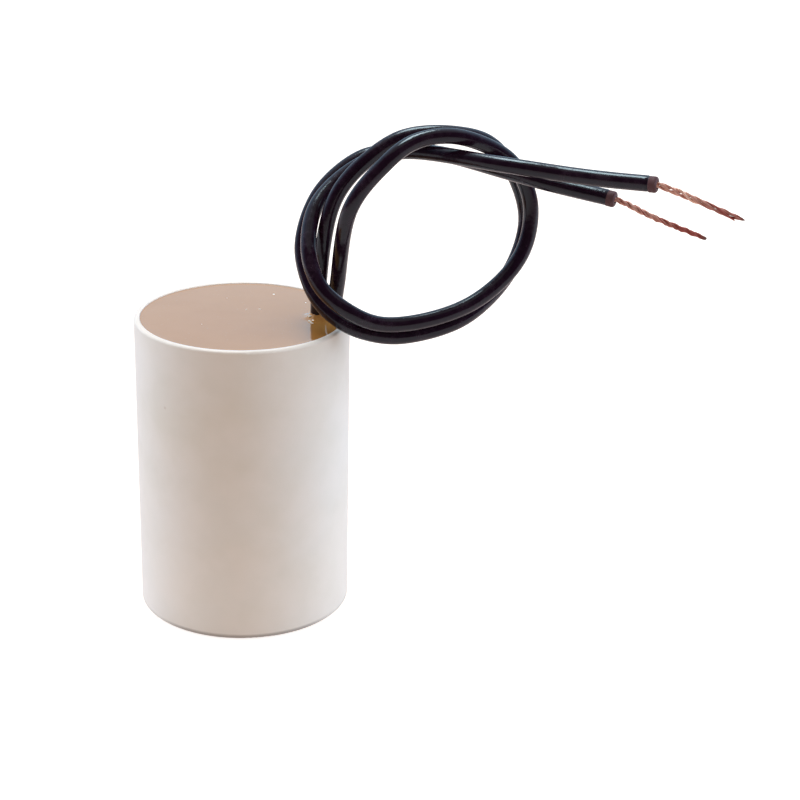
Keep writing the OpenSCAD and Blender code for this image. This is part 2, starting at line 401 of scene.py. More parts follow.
# %% [markdown]
# How far a bundle stands off changes along the rope. The bundles lie close
# at the mouth of the insulation, part a little further out and draw together
# at the tip, where the long lead's first bundle stops early and bends away.
# All these places are shares of the bare length, from 0 to 1. A slow wave
# keeps the bundles, and the wires in them, from looking wound by a machine.

# %% How far a wire stands from the middle
MOUTH_CLOSE = 0.6
MOUTH_TAPER = 0.12
SPLIT = 0.35
SPLIT_AT = 0.3
SPLIT_SPAN = 0.2
FRAY_SPAN = 0.12
FRAY_EASE = 1.5
BUNDLE_WAVE = 0.12
BUNDLE_WAVES = 9
WIRE_WAVE = 0.2
WIRE_WAVES = 14
TIP_DRAW = 0.5
WIRE_TIP_DRAW = 0.45


def frayed(u, stop):
    """How far into the frayed tip a place is, from 0 to 1."""
    return max(0.0, (u - stop + FRAY_SPAN) / FRAY_SPAN) ** FRAY_EASE


def bundle_spread(u, fray, swerve):
    """How far a bundle stands off, as a share of its usual distance."""
    ease = min(1.0, u / MOUTH_TAPER)
    split = math.exp(-((u - SPLIT_AT) / SPLIT_SPAN) ** 2)
    wide = MOUTH_CLOSE + (1 - MOUTH_CLOSE) * ease + SPLIT * split
    wave = 1 + BUNDLE_WAVE * math.sin(BUNDLE_WAVES * u + swerve)
    return wide * wave * (1 - TIP_DRAW * fray)


def wire_spread(u, fray, swerve, wander):
    """How far a wire stands from the middle of its own bundle."""
    wave = 1 + WIRE_WAVE * math.sin(wander * WIRE_WAVES * u + swerve)
    return wave * (1 - WIRE_TIP_DRAW * fray)


print("bundles part most at", SPLIT_AT, "of the bare length")

# %% [markdown]
# Two values are kept on the wires' vertices for the copper's material to
# read. One says how dull the wire is, as tarnish is never the same on all of
# them, and the other how far out along the lead the vertex lies.


# %% Values for the copper's colour
def keep_wear(obj, line, tarnish):
    """Write how far out each vertex is, and how dull its wire is."""
    out = obj.data.attributes.new("outward", "FLOAT", "POINT")
    dull = obj.data.attributes.new("dullness", "FLOAT", "POINT")
    per_wire = len(obj.data.vertices) // len(tarnish)
    start, way = line[0], (line[-1] - line[0]).normalized()
    span = (line[-1] - line[0]).length
    for i, vert in enumerate(obj.data.vertices):
        out.data[i].value = max(0, min(1, (vert.co - start).dot(way) / span))
        dull.data[i].value = tarnish[i // per_wire]


# %% [markdown]
# The ropes themselves. Every fourth wire of a bundle runs near its middle and
# the rest lie round it. Some wires stop a little short, each starts its wave
# at a place of its own, and neighbours share a tone. The random numbers have
# a seed, so the ropes come out the same every time.

# %% Bare twisted ends
WIRE_D = 0.17 * MM
WIRES = 24
WIRE_SIDES = 6
WIRE_START = 0.9 * MOUTH_DEPTH
WIRE_PITCH = 0.62
TWIST_WANDER = 0.5
TWIST_WAVES = 7
INNER_WIRE = 0.4
INNER_EVERY = 4
FORK = 0.3 * MM
FORK_UP = 0.4
TONE_SPREAD = 0.4
WIRE_TONES = (0, 0, 0.3, 1.0)
WIRES_PER_TONE = 2
SHORTFALLS = (0, 0, 0.01, 0.02, 0.05)
WANDER_LEAST, WANDER_MOST = 0.6, 1.4


def rope(name, points, bundle_r, wire_r, pitch, ends, worn, seed):
    """Twisted bundles of wires; `ends` says how far out each bundle stops."""
    draw = random.Random(seed)
    line, total = even_line(points, WIRE_START, BARE_STEPS)
    sides = frames_along(line)
    curve = round_curve(name, WIRE_D, WIRE_SIDES)
    curve.use_fill_caps = True
    wires, tarnish = WIRES // len(ends), []
    for b, stop in enumerate(ends):
        bundle_tone = worn + draw.uniform(0, TONE_SPREAD)
        tones = [draw.choice(WIRE_TONES) for _ in range(wires)]
        bend = -FORK if stop == min(ends) else FORK_UP * FORK
        for w in range(wires):
            last = stop - draw.choice(SHORTFALLS)
            swerve = draw.uniform(0, math.tau)
            wander = draw.uniform(WANDER_LEAST, WANDER_MOST)
            reach = wire_r * (INNER_WIRE if w % INNER_EVERY == 0 else 1.0)
            places = []
            for k in range(BARE_STEPS):
                u = last * k / (BARE_STEPS - 1)
                fray = frayed(u, stop)
                a = math.tau * (u * total / pitch + b / len(ends))
                a += TWIST_WANDER * math.sin(TWIST_WAVES * u + seed)
                c = math.tau * (u * total / (pitch * WIRE_PITCH) + w / wires)
                big = bundle_r * bundle_spread(u, fray, swerve)
                own = reach * wire_spread(u, fray, swerve, wander)
                x = big * math.cos(a) + own * math.cos(c)
                y = big * math.sin(a) + own * math.sin(c)
                if min(ends) < 1:
                    y += bend * fray
                places.append(beside(line, sides, u, x, y))
            add_line(curve, places)
            tarnish.append(bundle_tone + tones[w // WIRES_PER_TONE])
    obj = as_mesh(name, curve)
    keep_wear(obj, line, tarnish)
    return obj


long_strands = rope(
    "long_lead_strands", long_bare_points, bundle_r=0.29 * MM,
    wire_r=0.13 * MM, pitch=8 * MM, ends=(0.91, 1.0, 0.99, 0.96), worn=-0.3,
    seed=4)
short_strands = rope(
    "short_lead_strands", short_bare_points, bundle_r=0.20 * MM,
    wire_r=0.16 * MM, pitch=5 * MM, ends=(1.0, 1.0, 1.0), worn=0.4, seed=23)
for obj in (long_strands, short_strands):
    print(obj.name, len(obj.data.polygons), "faces")

# %% [markdown]
# Each lead's sleeve and its strands are hung on the object's body, so the
# strands go along with their sleeve, and the frame's own solids of that
# lead are hidden, since the pieces drawn here take their place.

for sleeve, strands, points, line, name in (
        (long_insulation, long_strands, long_points, long_line, "long_lead"),
        (short_insulation, short_strands, short_points, short_line,
         "short_lead")):
    for obj, node, slot in ((sleeve, "insulation", "insulation"),
                            (strands, "conductor", "copper")):
        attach(obj, BODY)
        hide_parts(f"{name}_{node}")
    print(name, "declared")

# %% [markdown]
# The cast resin is a solid of the frame, and flat on top. Real resin sets
# with a faint unevenness, climbs the wall by a hair and climbs each lead by
# about a millimetre. That skin is modelled as a disc, whose one face is inset
# ring by ring: fine rings near the wall, where its shape matters, and wide
# ones in the middle.

# %% Disc with rings for the resin's skin
SKIN_LIFT = 0.03 * MM
SKIN_SIDES = 256
SKIN_GAP = 0.01 * MM
FINE_RING = 0.25 * MM
FINE_RINGS = 26
WIDE_RING = 0.6 * MM

skin_r = CAN_INNER_R - SKIN_GAP
bpy.ops.mesh.primitive_circle_add(vertices=SKIN_SIDES, radius=skin_r,
                                  fill_type="NGON",
                                  location=(0, 0, RESIN_Z + SKIN_LIFT))
skin = bpy.context.object
skin.name = "resin_skin"
bpy.ops.object.transform_apply(location=True)
bpy.ops.object.mode_set(mode="EDIT")
bpy.ops.mesh.select_all(action="SELECT")
for _ in range(FINE_RINGS):
    bpy.ops.mesh.inset(thickness=FINE_RING)
left = skin_r - FINE_RINGS * FINE_RING
for _ in range(int(left / WIDE_RING) - 1):
    bpy.ops.mesh.inset(thickness=WIDE_RING)
bpy.ops.mesh.merge(type="CENTER")
bpy.ops.object.mode_set(mode="OBJECT")
print("resin skin:", len(skin.data.polygons), "faces")

# %% [markdown]
# The skin's vertices at the leads and at the wall are then lifted with
# proportional editing. It takes their neighbours along, less and less, and
# its sharp falloff has the hollow slope of a liquid's edge.

# %% Lift the skin at the leads and at the wall
CREEP = 0.95 * MM
CREEP_REACH = 1.5 * MM
WALL_CREEP = 0.03 * MM
WALL_REACH = 0.9 * MM
WALL_BAND = 0.05 * MM


def lift(obj, chosen, height, reach):
    """Raise the chosen vertices and, less and less, those round them."""
    select(obj, "VERT", chosen)
    bpy.ops.transform.translate(value=(0, 0, height),
                                use_proportional_edit=True,
                                proportional_edit_falloff="SHARP",
                                proportional_size=reach)
    bpy.ops.object.mode_set(mode="OBJECT")


only(skin)
for foot in (long_points[0], short_points[0]):
    lift(skin, lambda vert: (vert.co - foot).xy.length < LEAD_D / 2, CREEP,
         CREEP_REACH)
lift(skin, lambda vert: vert.co.xy.length > skin_r - WALL_BAND, WALL_CREEP,
     WALL_REACH)
print("skin stands up to", round((max(v.co.z for v in skin.data.vertices)
                                  - RESIN_Z) / MM, 2), "mm above the resin")

# %% [markdown]
# The unevenness is a displacement by a soft noise, so low that only a
# reflection shows it. Last, the skin's rim is drawn down into the resin and
# closed below, so that the skin is a solid thing with an inside.

# %% Uneven set of the resin, and the skin's edge
RIPPLE_SIZE = 7 * MM
RIPPLE_HEIGHT = 0.02 * MM
SKIN_DEPTH = 0.3 * MM
SKIN_SMOOTH_UNDER = math.radians(40)

ripple = bpy.data.textures.new("uneven_set", "CLOUDS")
ripple.noise_scale = RIPPLE_SIZE
ripple.noise_depth = 1
wave = skin.modifiers.new("uneven_set", "DISPLACE")
wave.texture = ripple
wave.texture_coords = "LOCAL"
wave.direction = "Z"
wave.mid_level = 0.0
wave.strength = RIPPLE_HEIGHT
bpy.ops.object.modifier_apply(modifier="uneven_set")

bpy.ops.object.mode_set(mode="EDIT")
bpy.ops.mesh.select_mode(type="EDGE")
bpy.ops.mesh.select_all(action="DESELECT")
bpy.ops.mesh.select_non_manifold()
bpy.ops.mesh.extrude_region_move(
    TRANSFORM_OT_translate={"value": (0, 0, -SKIN_DEPTH)})
bpy.ops.mesh.edge_face_add()
bpy.ops.mesh.select_all(action="SELECT")
bpy.ops.mesh.normals_make_consistent(inside=False)
bpy.ops.object.mode_set(mode="OBJECT")
bpy.ops.object.shade_smooth_by_angle(angle=SKIN_SMOOTH_UNDER)
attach(skin, BODY)
print("closed skin:", len(skin.data.polygons), "faces")

# %% [markdown]
# A few bubbles rose and burst late, and left tiny glossy domes on the skin,
# most of them beside the leads. Those close to a lead's foot are partly a
# painted highlight: pale domes where the resin that climbs the lead glints.
# One dome is modelled from a sphere that is cut below its middle, closed
# and flattened.

# %% One bubble
BUBBLE_R = 0.2 * MM
BUBBLE_CUT = 0.4 * BUBBLE_R
BUBBLE_FLATNESS = 0.6
BUBBLE_SIDES = 16
BUBBLE_RINGS = 12

bpy.ops.mesh.primitive_uv_sphere_add(segments=BUBBLE_SIDES,
                                     ring_count=BUBBLE_RINGS, radius=BUBBLE_R)
dome = bpy.context.object
bpy.ops.object.mode_set(mode="EDIT")
bpy.ops.mesh.select_all(action="SELECT")
bpy.ops.mesh.bisect(plane_co=(0, 0, -BUBBLE_CUT), plane_no=(0, 0, 1),
                    clear_inner=True)
bpy.ops.mesh.select_all(action="SELECT")
bpy.ops.mesh.fill_holes(sides=0)
bpy.ops.transform.resize(value=(1, 1, BUBBLE_FLATNESS))
bpy.ops.object.mode_set(mode="OBJECT")
bpy.ops.object.shade_smooth_by_angle(angle=SMOOTH_UNDER)
print("one bubble:", len(dome.data.polygons), "faces")

# %% [markdown]
# The dome is copied to each bubble's place, and the copies are joined into
# one piece. A place has four numbers: how far to the right and to the back
# it is, in millimetres, the bubble's size as a share of the dome's, and its
# height above the skin in millimetres. One sits high, on the resin that
# climbs a lead. It and the three in a row in front of it are a painted
# highlight: pale domes put where that climbing resin glints.

# %% Bubbles on the resin
BUBBLE_AND_GLINT_PLACES = [(5.3, 10.76, 1.0, 0), (0.7, 3.02, 0.7, 0),
                 (2.86, 3.12, 0.8, 0), (10.5, 6.3, 0.6, 0), (-6.5, -4, 0.4, 0),
                 (-2.5, 9, 0.4, 0), (10.9, -1.95, 1.3, 0.5),
                 (10.8, -2.9, 1.0, 0.03), (11.0, -3.4, 1.0, 0),
                 (11.25, -3.9, 0.9, 0)]

domes = []
for x, y, size, rise in BUBBLE_AND_GLINT_PLACES:
    copy = bpy.data.objects.new("bubble", dome.data.copy())
    scene.collection.objects.link(copy)
    copy.scale = (size, size, size)
    copy.location = (x * MM, y * MM, RESIN_Z + SKIN_LIFT + rise * MM)
    domes.append(copy)
bpy.data.objects.remove(dome)
bpy.ops.object.select_all(action="DESELECT")
for copy in domes:
    copy.select_set(True)
bpy.context.view_layer.objects.active = domes[0]
bpy.ops.object.join()
bubbles = bpy.context.object
bubbles.name = "resin_bubbles_and_glints"
bpy.ops.object.transform_apply(location=True, rotation=True, scale=True)
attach(bubbles, BODY)
print(len(domes), "bubbles")

# %% [markdown]
# Materials. All of them are patterns worked out from a point's own place on
# the piece, so they need no pictures. A material is a tree of nodes, and the
# helpers here add one node each and link it.


# %% Helpers that make nodes
def feed(tree, socket, source):
    """Link a socket to a source, or set it to a plain value or colour."""
    if isinstance(source, bpy.types.NodeSocket):
        tree.links.new(source, socket)
    elif socket.type == "RGBA":
        socket.default_value = (*source, 1)
    else:
        socket.default_value = source


def add(tree, kind, links=(), **settings):
    """Add a node, set what is named, and feed its inputs."""
    node = tree.nodes.new(kind)
    for key, value in settings.items():
        setattr(node, key, value)
    for socket, source in dict(links).items():
        feed(tree, node.inputs[socket], source)
    return node


def mixed(tree, fac, first, second):
    """The first colour where fac is 0, and the second where it is 1."""
    node = add(tree, "ShaderNodeMix", {"Factor": fac, 6: first, 7: second},
               data_type="RGBA")
    return node.outputs[2]


def maths(tree, operation, first, second, clamp=False):
    """One sum on two values, held between 0 and 1 if it is clamped."""
    return add(tree, "ShaderNodeMath", {0: first, 1: second},
               operation=operation, use_clamp=clamp).outputs[0]


def times(tree, first, second):
    return maths(tree, "MULTIPLY", first, second)


def ranged(tree, value, start, end, low=0.0, high=1.0, soft=False):
    """Turn a value between start and end into one between low and high."""
    return add(tree, "ShaderNodeMapRange",
               {"Value": value, "From Min": start, "From Max": end,
                "To Min": low, "To Max": high},
               interpolation_type="SMOOTHSTEP" if soft else "LINEAR"
               ).outputs["Result"]


# %% [markdown]
# Two effects are used again and again and are made once as node groups: a
# soft cloudiness that varies a colour, and a fine grain that gives a surface
# its touch, with a mask for specks of the same size beside it.


# %% Node groups for cloudiness and grain
CLOUD_LOW, CLOUD_HIGH = 0.3, 0.7
SPECK_CORE, SPECK_EDGE = 0.05, 0.16


def new_group(name, scale, outputs):
    """A group with a place and a scale as its inputs."""
    group = bpy.data.node_groups.new(name, "ShaderNodeTree")
    group.interface.new_socket("Place", in_out="INPUT",
                               socket_type="NodeSocketVector")
    size = group.interface.new_socket("Scale", in_out="INPUT",
                                      socket_type="NodeSocketFloat")
    size.default_value = scale
    for label in outputs:
        group.interface.new_socket(label, in_out="OUTPUT",
                                   socket_type="NodeSocketFloat")
    source = group.nodes.new("NodeGroupInput").outputs
    spot = {"Vector": source["Place"], "Scale": source["Scale"]}
    return group, spot, group.nodes.new("NodeGroupOutput").inputs


cloud_group, spot, result = new_group("soft_clouds", 100.0, ["Clouds"])
noise = add(cloud_group, "ShaderNodeTexNoise",
            {**spot, "Detail": 3.0, "Roughness": 0.55})
feed(cloud_group, result["Clouds"],
     ranged(cloud_group, noise.outputs["Fac"], CLOUD_LOW, CLOUD_HIGH,
            soft=True))

grain_group, spot, result = new_group("fine_grain", 2000.0,
                                      ["Grain", "Specks"])
noise = add(grain_group, "ShaderNodeTexNoise",
            {**spot, "Detail": 4.0, "Roughness": 0.6})
feed(grain_group, result["Grain"], noise.outputs["Fac"])
cells = add(grain_group, "ShaderNodeTexVoronoi", spot, feature="F1")
feed(grain_group, result["Specks"],
     ranged(grain_group, cells.outputs["Distance"], SPECK_CORE,
            SPECK_EDGE, 1.0, 0.0))
print("node groups:", ", ".join(g.name for g in bpy.data.node_groups))

# %% [markdown]
# Each material starts from the same shader. What is even over the surface is
# a plain number on it. What varies comes from a pattern: clouds or grain of
# a given scale, which says how many patches there are in a metre.


# %% Start of a material
def new_material(name, **constants):
    """A material with its own shader, whose constants are set directly."""
    material = bpy.data.materials.new(name)
    material.use_nodes = True
    tree = material.node_tree
    shader = tree.nodes["Principled BSDF"]
    for key, value in constants.items():
        shader.inputs[key.replace("_", " ")].default_value = value
    place = tree.nodes.new("ShaderNodeTexCoord").outputs["Object"]
    return material, tree, shader, place


def pattern(tree, group, place, scale, output):
    """Place a group in a material and take one of its outputs."""
    node = add(tree, "ShaderNodeGroup", node_tree=group)
    feed(tree, node.inputs["Place"], place)
    feed(tree, node.inputs["Scale"], scale)
    return node.outputs[output]


def clouds(tree, place, scale):
    return pattern(tree, cloud_group, place, scale, "Clouds")


def grain(tree, place, scale):
    return pattern(tree, grain_group, place, scale, "Grain")


def specks(tree, place, scale):
    return pattern(tree, grain_group, place, scale, "Specks")


def bumped(tree, shader, height, distance):
    """Make the surface look as uneven as a height of so many metres."""
    bump = add(tree, "ShaderNodeBump", {"Height": height,
                                        "Distance": distance})
    feed(tree, shader.inputs["Normal"], bump.outputs["Normal"])


def two_tone(name, made_by, scale, first, second, bump=0.0, **constants):
    """A material whose pattern mixes two colours, and may be felt too."""
    material, tree, shader, place = new_material(name, **constants)
    mask = made_by(tree, place, scale)
    feed(tree, shader.inputs["Base Color"], mixed(tree, mask, first, second))
    if bump:
        bumped(tree, shader, mask, bump)
    return material


def give(material, *objects):
    """Make a material the only one on some pieces."""
    for obj in objects:
        obj.data.materials.clear()
        obj.data.materials.append(material)
    print(material.name, "covers", ", ".join(obj.name for obj in objects))


def cad(name):
    """A solid of the frame, by its name."""
    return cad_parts[name]


# %% [markdown]
# The can is moulded in a warm white plastic with a satin face. Such plastic
# is never one flat colour: the melt leaves very faint clouds, some of them a
# little pinker, and one small speck of scorched material sits in the wall.
# Each layer is mixed over the one before, by a mask that says where it is.

# %% Colours of the can
CAN_WHITE = (0.745, 0.68, 0.635)
CAN_SHADE = (0.70, 0.62, 0.54)
CAN_PINK = (0.83, 0.74, 0.70)
SCORCHED = (0.45, 0.30, 0.22)
SPECK_PLACE = (-12.34 * MM, -12.41 * MM, 38.85 * MM)
SPECK_R = 0.35 * MM
SHADE_CLOUDS, SHADE_SHARE = 55.0, 0.6
BLUSH_CLOUDS, BLUSH_SHARE = 120.0, 0.4
SCORCH_SHARE = 0.4

can_plastic, tree, shader, place = new_material(
    "can_plastic", Roughness=0.42, IOR=1.5, Specular_IOR_Level=0.35)
shade = times(tree, clouds(tree, place, SHADE_CLOUDS), SHADE_SHARE)
colour = mixed(tree, shade, CAN_WHITE, CAN_SHADE)
blush = times(tree, clouds(tree, place, BLUSH_CLOUDS), BLUSH_SHARE)
colour = mixed(tree, blush, colour, CAN_PINK)
far = add(tree, "ShaderNodeVectorMath", {0: place, 1: SPECK_PLACE},
          operation="DISTANCE").outputs["Value"]
speck = ranged(tree, far, 0.0, SPECK_R, SCORCH_SHARE, 0.0)
colour = mixed(tree, speck, colour, SCORCHED)
print("scorched speck at", [round(v / MM, 1) for v in SPECK_PLACE], "mm")

# %% [markdown]
# The edge that the can stands on carries a painted contact shadow: a grey
# line that is strongest at the front and fades towards the sides. The touch
# varies too: patches are a little glossier or duller, and a fine grain
# breaks the reflections up.

# %% Painted foot shadow and touch of the can
FOOT_SHADOW_GREY = (0.26, 0.22, 0.20)
FOOT_TOP = 0.9 * MM
FOOT_SHADOW_SHARE = 0.68
SIDE_SHADOW_SHARE = FOOT_SHADOW_SHARE / 4
FRONT_EDGE = -0.82 * CAN_R
SIDE_EDGE = -0.62 * CAN_R
SHADOW_FULL_BELOW = 0.55 * FOOT_TOP
TOUCH_CLOUDS = 260.0
TOUCH_GLOSSY, TOUCH_DULL = 0.36, 0.48
MOULD_GRAIN = 2600.0
MOULD_GRAIN_HEIGHT = 0.012 * MM

spot = add(tree, "ShaderNodeSeparateXYZ", {"Vector": place})
# Painted shade: the foot edge is greyed where the contact shadow falls, most
# at the front.
foot = ranged(tree, spot.outputs["Z"], SHADOW_FULL_BELOW, FOOT_TOP, 1.0, 0.0)
amount = ranged(tree, spot.outputs["Y"], FRONT_EDGE, SIDE_EDGE, FOOT_SHADOW_SHARE,
                SIDE_SHADOW_SHARE)
painted_foot_shadow = times(tree, foot, amount)
feed(tree, shader.inputs["Base Color"], mixed(tree, painted_foot_shadow, colour, FOOT_SHADOW_GREY))
touch = clouds(tree, place, TOUCH_CLOUDS)
feed(tree, shader.inputs["Roughness"],
     ranged(tree, touch, 0.0, 1.0, TOUCH_GLOSSY, TOUCH_DULL))
bumped(tree, shader, grain(tree, place, MOULD_GRAIN), MOULD_GRAIN_HEIGHT)
give(can_plastic, cad("can"))

# %% [markdown]
# The resin is amber and clear in itself, with pale mineral powder mixed in.
# Light that enters it comes back brown and dull, while its surface reflects
# like glass. So the base is a dark amber, and the brightness seen from a low
# angle is the room mirrored in a clear, smooth coat. The bubbles are the same
# resin whipped pale. That pale colour also paints the highlight at a lead's
# foot.

# %% Material of the resin
AMBER = (0.44, 0.197, 0.05)
AMBER_PALE = (0.46, 0.213, 0.063)
POWDER = (0.42, 0.31, 0.20)
FOAM_AND_GLINT = (0.80, 0.74, 0.62)
FOAM_AND_GLINT_PALE = (0.92, 0.89, 0.82)
AMBER_CLOUDS, FOAM_AND_GLINT_CLOUDS = 90.0, 900.0
POWDER_SPECKS, POWDER_SHARE = 900.0, 0.25

resin, tree, shader, place = new_material(
    "cast_resin", Roughness=0.08, IOR=1.46, Coat_Weight=1.0,
    Coat_Roughness=0.03, Coat_IOR=1.46)
colour = mixed(tree, clouds(tree, place, AMBER_CLOUDS), AMBER, AMBER_PALE)
powder = times(tree, specks(tree, place, POWDER_SPECKS), POWDER_SHARE)
feed(tree, shader.inputs["Base Color"], mixed(tree, powder, colour, POWDER))
give(resin, cad("potting_resin"), skin)

# Painted highlight in part: the pale domes at a lead's foot stand in for its
# glints.
foam_and_glint = two_tone("bubble_and_glint_skin", clouds, FOAM_AND_GLINT_CLOUDS, FOAM_AND_GLINT, FOAM_AND_GLINT_PALE,
                Roughness=0.12, IOR=1.5, Coat_Weight=1.0)
give(foam_and_glint, bubbles)

# %% [markdown]
# The leads are insulated in black PVC. It is glossy, a little waxy, and so
# dark that nearly all of its look is reflection. Faint scuffs along it take
# the gloss off in places, and a slight waviness bends the reflections, as in
# any drawn sleeve.

# %% Material of the insulation
PVC_BLACK = (0.010, 0.0025, 0.008)
PVC_SCUFFED = (0.023, 0.009, 0.019)
PVC_CLOUDS, SCUFF_CLOUDS = 240.0, 1100.0
PVC_GLOSSY, PVC_DULL = 0.14, 0.30
PVC_GRAIN, PVC_GRAIN_SHARE = 1500.0, 0.25
PVC_WAVINESS = 0.03 * MM

pvc, tree, shader, place = new_material(
    "black_pvc", Roughness=0.2, IOR=1.52, Specular_IOR_Level=0.46,
    Specular_Tint=(0.70, 0.93, 1.0, 1.0))
patch = clouds(tree, place, PVC_CLOUDS)
wear = times(tree, patch, clouds(tree, place, SCUFF_CLOUDS))
feed(tree, shader.inputs["Base Color"],
     mixed(tree, wear, PVC_BLACK, PVC_SCUFFED))
feed(tree, shader.inputs["Roughness"],
     ranged(tree, wear, 0.0, 1.0, PVC_GLOSSY, PVC_DULL))
fine = times(tree, grain(tree, place, PVC_GRAIN), PVC_GRAIN_SHARE)
bumped(tree, shader, maths(tree, "ADD", patch, fine), PVC_WAVINESS)
give(pvc, long_insulation, short_insulation)

# %% [markdown]
# A blade leaves the sleeve dull and browner, with a torn grain. That belongs
# to the stub alone, so it is a second material on the same piece, given to
# the faces between the scored ring and the cut.

# %% Material of the cut ends
CUT_BROWN = (0.085, 0.034, 0.038)
CUT_GREY = (0.105, 0.056, 0.062)
CUT_CLOUDS, CUT_GRAIN = 900.0, 3000.0
CUT_SMOOTH, CUT_ROUGH = 0.40, 0.65
CUT_TEAR = 0.03 * MM

cut_pvc, tree, shader, place = new_material("cut_pvc", Specular_IOR_Level=0.2)
feed(tree, shader.inputs["Base Color"],
     mixed(tree, clouds(tree, place, CUT_CLOUDS), CUT_BROWN, CUT_GREY))
fine = grain(tree, place, CUT_GRAIN)
feed(tree, shader.inputs["Roughness"],
     ranged(tree, fine, 0.0, 1.0, CUT_SMOOTH, CUT_ROUGH))
bumped(tree, shader, fine, CUT_TEAR)
for obj, line in sleeves:
    obj.data.materials.append(cut_pvc)
    end, way = line[-1], (line[-1] - line[-2]).normalized()
    for face in obj.data.polygons:
        face.material_index = int(on_stub(face, end, way))
    print(obj.name, "has its cut end browned")

# %% [markdown]
# Bare copper strands shine pink where they are clean and turn brown where
# they have been handled. The colour follows the two values kept on the
# wires: each wire has its own dullness, and all are darker towards the tip.

# %% Material of the strands
COPPER_CLEAN = (1.0, 0.66, 0.54)
COPPER_BROWN = (0.42, 0.11, 0.09)
COPPER_TIP = (0.14, 0.09, 0.09)
WIRE_DULLNESS = 0.6
HANDLED_FROM, HANDLED_FULL, HANDLED_SHARE = 0.5, 0.75, 0.65
TIP_FROM = 0.93
COPPER_GRAIN, COPPER_GRAIN_SHARE = 1800.0, 0.25
COPPER_BRIGHT, COPPER_DULL = 0.24, 0.45

copper, tree, shader, place = new_material(
    "bare_copper", Metallic=0.45, Roughness=0.32)
outward, dullness = (
    add(tree, "ShaderNodeAttribute", attribute_name=value).outputs["Fac"]
    for value in ("outward", "dullness"))
handled = ranged(tree, outward, HANDLED_FROM, HANDLED_FULL, 0.0,
                 HANDLED_SHARE)
dull = maths(tree, "ADD", times(tree, dullness, WIRE_DULLNESS), handled)
fine = times(tree, grain(tree, place, COPPER_GRAIN), COPPER_GRAIN_SHARE)
dull = maths(tree, "ADD", dull, fine, clamp=True)
colour = mixed(tree, dull, COPPER_CLEAN, COPPER_BROWN)
tip = ranged(tree, outward, TIP_FROM, 1.0)
feed(tree, shader.inputs["Base Color"], mixed(tree, tip, colour, COPPER_TIP))
feed(tree, shader.inputs["Roughness"],
     ranged(tree, dull, 0.0, 1.0, COPPER_BRIGHT, COPPER_DULL))
give(copper, long_strands, short_strands)

# %% [markdown]
# The pieces inside the resin are never seen in the whole object, but each
# has the finish of the real one for whoever takes it apart. The wound film
# shows its turns as rings round the roll's own middle, which a Mapping node
# brings to the pattern's centre, and the tape round it lies in faint bands.

# %% Materials of the wound film and of its tape
ROLL_X = (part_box("film_roll")[0][0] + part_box("film_roll")[1][0]) / 2
FILM_GREY = (0.36, 0.36, 0.38)
FILM_SILVER = (0.62, 0.62, 0.63)
TAPE_AMBER = (0.60, 0.46, 0.20)
TAPE_PALE = (0.68, 0.54, 0.27)
FILM_TURNS, TURN_WANDER = 900.0, 1.5
TURN_STEP = 0.01 * MM
TAPE_ROWS, ROW_WANDER = 60.0, 0.3


def turns(tree, place, scale):
    """Rings round the roll's own middle, as its wound film shows."""
    centred = add(tree, "ShaderNodeMapping",
                  {"Vector": place, "Location": (-ROLL_X, 0, 0)}).outputs[0]
    return add(tree, "ShaderNodeTexWave",
               {"Vector": centred, "Scale": scale, "Distortion": TURN_WANDER},
               wave_type="RINGS", rings_direction="Z").outputs["Fac"]


def rows(tree, place, scale):
    """Faint level bands, as where a tape overlaps itself."""
    return add(tree, "ShaderNodeTexWave",
               {"Vector": place, "Scale": scale, "Distortion": ROW_WANDER},
               wave_type="BANDS", bands_direction="Z").outputs["Fac"]


film = two_tone("metallised_film", turns, FILM_TURNS, FILM_GREY, FILM_SILVER,
                bump=TURN_STEP, Metallic=0.7, Roughness=0.3)
give(film, cad("film_roll"))
tape = two_tone("film_tape", rows, TAPE_ROWS, TAPE_AMBER, TAPE_PALE,
                Roughness=0.25, Coat_Weight=0.5)
give(tape, cad("tape_wrap"))

# %% [markdown]
# The core is a plain cream plastic. The zinc was sprayed on hot in droplets
# and is as rough as sandpaper, so its grain is both seen and felt. The solder
# has run smooth, and only faint clouds dim its shine.

# %% Materials of the core, the zinc and the solder
CORE_CREAM = (0.66, 0.63, 0.56)
CORE_PALE = (0.72, 0.70, 0.64)
ZINC_DARK = (0.34, 0.34, 0.35)
ZINC_PALE = (0.58, 0.58, 0.59)
SOLDER_GREY = (0.66, 0.66, 0.66)
SOLDER_BRIGHT = (0.80, 0.79, 0.77)
CORE_CLOUDS, SOLDER_CLOUDS = 300.0, 700.0
ZINC_GRAIN, ZINC_HEIGHT = 1600.0, 0.08 * MM

core_plastic = two_tone("core_plastic", clouds, CORE_CLOUDS, CORE_CREAM,
                        CORE_PALE, Roughness=0.5)
give(core_plastic, cad("core_tube"))
zinc = two_tone("sprayed_zinc", grain, ZINC_GRAIN, ZINC_DARK, ZINC_PALE,
                bump=ZINC_HEIGHT, Metallic=0.9, Roughness=0.75)
give(zinc, cad("upper_end_spray"), cad("lower_end_spray"))
solder = two_tone("solder", clouds, SOLDER_CLOUDS, SOLDER_GREY,
                  SOLDER_BRIGHT, Metallic=1.0, Roughness=0.28)
give(solder, cad("upper_solder_joint"), cad("lower_solder_joint"))

# %% [markdown]
# The stage is a plain white room. To the camera, and through anything clear,
# the world is white. Shiny surfaces see more of a room than that: a cool
# bright wall at the back that fades into a dark front, which gives the black
# leads their thin bright edges. Matt surfaces get a weaker, warm fill. One
# light source can do all three, because a ray says what it is looking for.

# %% World
WORLD_FILL = 0.55
FRONT_DARK = 0.04
WALL_START, WALL_FULL = -0.3, 0.85
WALL_BLUE = (0.51, 0.74, 0.94)
WARM_FILL = (1.0, 0.87, 0.75)
WHITE = (1, 1, 1)

